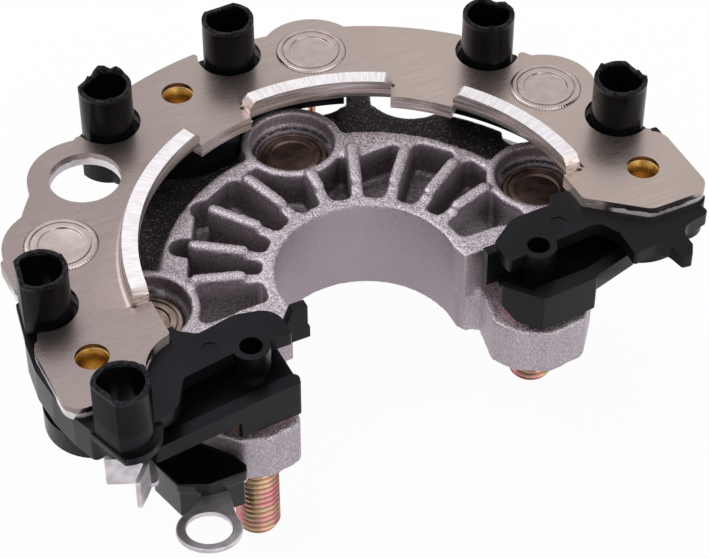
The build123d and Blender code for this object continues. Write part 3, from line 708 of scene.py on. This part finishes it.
class RECTIFIER_OT_diodes(bpy.types.Operator):
    """Pressed-in diodes: turned cups with a knurled skirt, their leads and potting."""

    bl_idname = "rectifier.diodes"
    bl_label = "Diodes"

    def execute(self, context):
        settings = context.scene.rectifier_diode
        bright = plated_finish(
            "cup_plating", tint(184, 169, 166), tint(208, 195, 192), roughness=0.24, mottling=0.5
        )
        dull = plated_finish("dull_cup_plating", tint(120, 102, 92), tint(164, 146, 136))
        copper = plated_finish("bare_lead", tint(190, 130, 100), tint(220, 168, 140))
        resin = plated_finish("resin", tint(40, 34, 30), tint(60, 52, 46), 0.0)
        skirt, bore, floor, bottom = 6.4, 5.3, -2.6, -5.6
        dish, groove = -0.35, -0.36
        head, head_bottom, wire, wire_end = 2.2, -3.2, 0.7, -18.6
        negative_top, positive_top = 0.4, -9.3

        def knurled(angle, radius):
            """Radius less a ridge's depth where the profile is outermost."""
            outermost = np.clip((radius - skirt + 0.35) / 0.2, 0, 1)
            ridge = 0.5 + 0.5 * np.cos(settings.knurls * angle)
            return radius - outermost * settings.knurl_depth * ridge

        def diode(kind, side, place, top, plating):
            """Turned pieces of one diode, with heights from the cup's face but for the lead's end."""
            cup = [
                (0, dish, 0), (3.85, dish, 0.06), (3.98, 0, 0.06), (5.02, 0, 0.05),
                (5.12, groove, 0.03), (5.28, groove, 0.03), (5.38, 0, 0.05), (6.0, -0.02, 0.1),
                (skirt, -0.4, 0.1), (skirt, bottom, 0.2), (bore, bottom, 0.2), (bore, floor, 0.2),
                (0, floor, 0),
            ]
            lead = [
                (0, floor, 0), (head, floor, 0), (head, head_bottom, 0.15),
                (wire, head_bottom, 0.1), (wire, wire_end - top, 0.15), (0, wire_end - top, 0),
            ]
            potting = [
                (wire, head_bottom, 0), (head, head_bottom, 0), (head, floor, 0), (bore, floor, 0),
                (bore, -5.1, 0.3), (3.0, -5.3, 0.5), (wire, -4.9, 0.3),
            ]
            pieces = {
                "cup": (cup, False, 4 * settings.knurls, knurled, plating, "cup_metal"),
                "lead": (lead, False, 32, None, copper, "lead_copper"),
                "potting": (potting, True, 48, None, resin, "potting"),
            }
            for part, (corners, closed, steps, wave, finish, slot) in pieces.items():
                node = kind + "_" + part + "_" + side
                profile = rounded(corners, closed) + np.array([0, top])
                grid = turned(place, profile, steps, wave)
                mesh = surfaces_mesh("turned_" + node, [(grid, closed)])
                settle("turned_" + node, mesh, finish, [node])

        for side in SIDES:
            negative_place = polar(PITCH_RADIUS, NEGATIVE_ANGLES[side])
            diode("negative", side, negative_place, negative_top, bright)
            diode("positive", side, polar(*POSITIVE_PLACES[side]), positive_top, dull)
        return {"FINISHED"}


class RECTIFIER_OT_rivets(bpy.types.Operator):
    """Tubular rivets: a turned tube with a flared mouth and a wide foot at each place."""

    bl_idname = "rectifier.rivets"
    bl_label = "Rivets"

    def execute(self, context):
        brass = plated_finish("rivet_brass", tint(206, 168, 96), tint(240, 216, 160))
        bore, shank, foot = 2.2, 2.86, 4.4
        mouth, foot_top, foot_bottom = -0.9, -14.6, -15.4
        tube = [
            (bore, -2.6, 1.2), (2.78, mouth, 0.05), (shank, mouth, 0.03), (shank, foot_top, 0),
            (foot, foot_top, 0.1), (foot, foot_bottom, 0.4), (bore, foot_bottom, 0.5),
        ]
        profile = rounded(tube, True)
        places = [polar(PITCH_RADIUS, angle) for angle in RIVET_ANGLES]
        grids = [(turned(place, profile, 64), True) for place in places]
        mesh = surfaces_mesh("hollow_rivets", grids)
        settle("hollow_rivets", mesh, brass, ["tubular_rivets"])
        return {"FINISHED"}


class RECTIFIER_OT_studs(bpy.types.Operator):
    """Terminal studs: a helical thread under a six-sided head."""

    bl_idname = "rectifier.studs"
    bl_label = "Studs"

    def execute(self, context):
        settings = context.scene.rectifier_stud
        material = stud_finish()
        opposite = (-STUD_PLACE[0], STUD_PLACE[1])
        studs = {
            "long_stud": ("battery_stud", opposite, -26.3, -46.2),
            "short_stud": ("auxiliary_stud", STUD_PLACE, -25.5, -32.4),
        }
        for name, (node, place, start, end) in studs.items():
            mesh = surfaces_mesh(name, [(self.stud(settings, place, start, end), False)])
            settle(name, mesh, material, [node], crease=28)
        return {"FINISHED"}

    def stud(self, settings, place, start, end):
        """Points from the crown of the head down to the end of the thread.

        The head is a turned crown cut by six flats. Below the plain shank the radius is a ridge
        that climbs one pitch in each turn, held under a taper at both ends of the thread.
        """
        crown_top, seat, corner, across_flats, shank = -10.2, -15.2, 6.3, 10.8, 4.2
        rows_per_turn = 12
        angle = round_turn(72)
        sixth = np.mod(angle + radians(30), radians(60)) - radians(30)
        crown = np.array([
            (0, crown_top), (4.9, crown_top), (5.35, crown_top - 0.15), (corner, crown_top - 0.75),
            (corner, seat + 0.4), (5.8, seat), (shank, seat), (shank, start),
        ])
        head = np.minimum(across_flats / 2 / np.cos(sixth), crown[:, :1])
        rows = int((start - end) / settings.thread_pitch * rows_per_turn)
        height = np.linspace(start - 0.01, end, rows)[:, None]
        turn = np.mod(height / settings.thread_pitch + angle / (2 * pi), 1)
        ridge = np.clip(np.abs(2 * turn - 1) * 1.25 - 0.1, 0, 1)
        thread = THREAD_RADIUS - settings.thread_depth * (1 - ridge)
        taper = np.minimum(height - end, start - height + 0.6) * 0.9
        thread = np.minimum(thread, THREAD_RADIUS - 0.9 + taper)
        radius = np.concatenate([head, thread, 0 * angle])
        heights = np.concatenate([crown[:, 1:], height, [[end]]])
        return round_axis(place, angle, radius, heights)


class RECTIFIER_OT_conductors(bpy.types.Operator):
    """Tinned strips, the capacitor's strap and its ring, and the wound roll."""

    bl_idname = "rectifier.conductors"
    bl_label = "Conductors"

    def execute(self, context):
        tinned = plated_finish(
            "tinned_sheet", tint(184, 176, 182), tint(226, 220, 226), 0.9, 0.36, 0.8
        )
        for side in SIDES:
            edged("phase_conductor_" + side, "phase_strip_" + side, tinned, 0.12)
        edged("capacitor_lug", "capacitor_strap", tinned, 0.12)
        edged("eye_terminal", "ring_terminal", tinned, 0.22, 3)
        film = plated_finish("film_roll", tint(150, 140, 110), tint(180, 168, 136), 0.0, 0.35)
        edged("film_roll", "capacitor_winding", film, 0.3)
        return {"FINISHED"}


class RECTIFIER_OT_stage(bpy.types.Operator):
    """Pale floor, soft light and the camera."""

    bl_idname = "rectifier.stage"
    bl_label = "Stage"

    def execute(self, context):
        settings = context.scene.rectifier_stage
        self.floor()
        self.light(settings)
        self.camera(context, settings)
        context.scene.view_settings.view_transform = "Standard"
        return {"FINISHED"}

    def seen_rays(self, tree):
        """Share that is 1 for what the camera sees straight, mirrored or through glass."""
        rays = tree.nodes.new("ShaderNodeLightPath")
        share = rays.outputs["Is Camera Ray"]
        for name in ("Is Glossy Ray", "Is Transmission Ray"):
            larger = tree.nodes.new("ShaderNodeMath")
            larger.operation = "MAXIMUM"
            tree.links.new(share, larger.inputs[0])
            tree.links.new(rays.outputs[name], larger.inputs[1])
            share = larger.outputs[0]
        return share

    def floor(self):
        """Large flat sheet just under the lowest point of the part, near white to the camera."""
        reach = 4.0
        level = solid_low.z - 0.5 * MM
        white_share = 0.95
        turns = ((-1, -1), (1, -1), (1, 1), (-1, 1))
        mesh = bpy.data.meshes.new("floor")
        mesh.from_pydata([(reach * x, reach * y, level) for x, y in turns], [], [(0, 1, 2, 3)])
        floor = bpy.data.objects.new("floor", mesh)
        bpy.context.scene.collection.objects.link(floor)
        material = bpy.data.materials.new("pale_floor")
        material.use_nodes = True
        tree = material.node_tree
        tree.nodes.clear()
        paint = tree.nodes.new("ShaderNodeBsdfDiffuse")
        paint.inputs["Color"].default_value = (0.9, 0.9, 0.9, 1)
        glow = tree.nodes.new("ShaderNodeEmission")
        glow.inputs["Strength"].default_value = 1.0
        seen = tree.nodes.new("ShaderNodeMath")
        seen.operation = "MULTIPLY"
        seen.inputs[1].default_value = white_share
        mix = tree.nodes.new("ShaderNodeMixShader")
        result = tree.nodes.new("ShaderNodeOutputMaterial")
        tree.links.new(self.seen_rays(tree), seen.inputs[0])
        tree.links.new(seen.outputs[0], mix.inputs[0])
        tree.links.new(paint.outputs[0], mix.inputs[1])
        tree.links.new(glow.outputs[0], mix.inputs[2])
        tree.links.new(mix.outputs[0], result.inputs[0])
        mesh.materials.append(material)

    def light(self, settings):
        """White surroundings for the camera, a softer tent for the part, and two soft boxes."""
        world = bpy.data.worlds.new("studio")
        bpy.context.scene.world = world
        world.use_nodes = True
        tree = world.node_tree
        tent = tree.nodes["Background"]
        tent.inputs["Color"].default_value = (1.0, 0.985, 0.98, 1)
        tent.inputs["Strength"].default_value = settings.world_strength
        white = tree.nodes.new("ShaderNodeBackground")
        white.inputs["Strength"].default_value = 1.0
        mix = tree.nodes.new("ShaderNodeMixShader")
        tree.links.new(self.seen_rays(tree), mix.inputs[0])
        tree.links.new(tent.outputs[0], mix.inputs[1])
        tree.links.new(white.outputs[0], mix.inputs[2])
        tree.links.new(mix.outputs[0], tree.nodes["World Output"].inputs[0])
        boxes = {
            "top_box": ((-0.35, 0.45, 0.75), 0.9, 4.6),
            "front_box": ((0.35, -0.75, 0.45), 0.9, 2.4),
        }
        for name, (place, size, power) in boxes.items():
            data = bpy.data.lights.new(name, "AREA")
            data.shape = "SQUARE"
            data.size = size
            data.energy = power
            lamp = bpy.data.objects.new(name, data)
            lamp.location = place
            lamp.rotation_mode = "QUATERNION"
            lamp.rotation_quaternion = (-Vector(place)).to_track_quat("-Z", "Y")
            bpy.context.scene.collection.objects.link(lamp)

    def camera(self, context, settings):
        """Camera aimed at the point of the plate that lies in the middle of the picture."""
        data = bpy.data.cameras.new("camera")
        data.lens = settings.focal_pixels / IMAGE_WIDTH * data.sensor_width
        camera = bpy.data.objects.new("camera", data)
        aim = Matrix.Translation(Vector(CAMERA_AIM) * MM)
        turn = Matrix.Rotation(-settings.azimuth, 4, "Z")
        tilt = Matrix.Rotation(pi / 2 - settings.elevation, 4, "X")
        back = Matrix.Translation((0, 0, settings.distance))
        camera.matrix_world = aim @ turn @ tilt @ back
        data.clip_start = 0.01
        context.scene.collection.objects.link(camera)
        context.scene.camera = camera


OPERATORS = (
    RECTIFIER_OT_stage,
    RECTIFIER_OT_plate,
    RECTIFIER_OT_casting,
    RECTIFIER_OT_mouldings,
    RECTIFIER_OT_diodes,
    RECTIFIER_OT_rivets,
    RECTIFIER_OT_studs,
    RECTIFIER_OT_conductors,
)
SETTINGS = {
    "rectifier_plate": RectifierPlateSettings,
    "rectifier_casting": RectifierCastingSettings,
    "rectifier_moulding": RectifierMouldingSettings,
    "rectifier_diode": RectifierDiodeSettings,
    "rectifier_stud": RectifierStudSettings,
    "rectifier_stage": RectifierStageSettings,
}


class RECTIFIER_PT_panel(bpy.types.Panel):
    """Settings and steps in the 3D view's sidebar."""

    bl_idname = "RECTIFIER_PT_panel"
    bl_label = "Rectifier"
    bl_space_type = "VIEW_3D"
    bl_region_type = "UI"
    bl_category = "Rectifier"

    def draw(self, context):
        for name, group in SETTINGS.items():
            for key in group.__annotations__:
                self.layout.prop(getattr(context.scene, name), key)
        for operator in OPERATORS:
            self.layout.operator(operator.bl_idname)


def register():
    """Make the settings, operators and panel known."""
    for group in SETTINGS.values():
        bpy.utils.register_class(group)
    for operator in OPERATORS:
        bpy.utils.register_class(operator)
    bpy.utils.register_class(RECTIFIER_PT_panel)
    for name, group in SETTINGS.items():
        setattr(bpy.types.Scene, name, bpy.props.PointerProperty(type=group))


def unregister():
    """Undo register."""
    for name in SETTINGS:
        delattr(bpy.types.Scene, name)
    bpy.utils.unregister_class(RECTIFIER_PT_panel)
    for operator in reversed(OPERATORS):
        bpy.utils.unregister_class(operator)
    for group in reversed(SETTINGS.values()):
        bpy.utils.unregister_class(group)


def main():
    """Run every step in order."""
    register()
    bpy.ops.rectifier.stage()
    bpy.ops.rectifier.plate()
    bpy.ops.rectifier.casting()
    bpy.ops.rectifier.mouldings()
    bpy.ops.rectifier.diodes()
    bpy.ops.rectifier.rivets()
    bpy.ops.rectifier.studs()
    bpy.ops.rectifier.conductors()


if __name__ == "__main__":
    main()
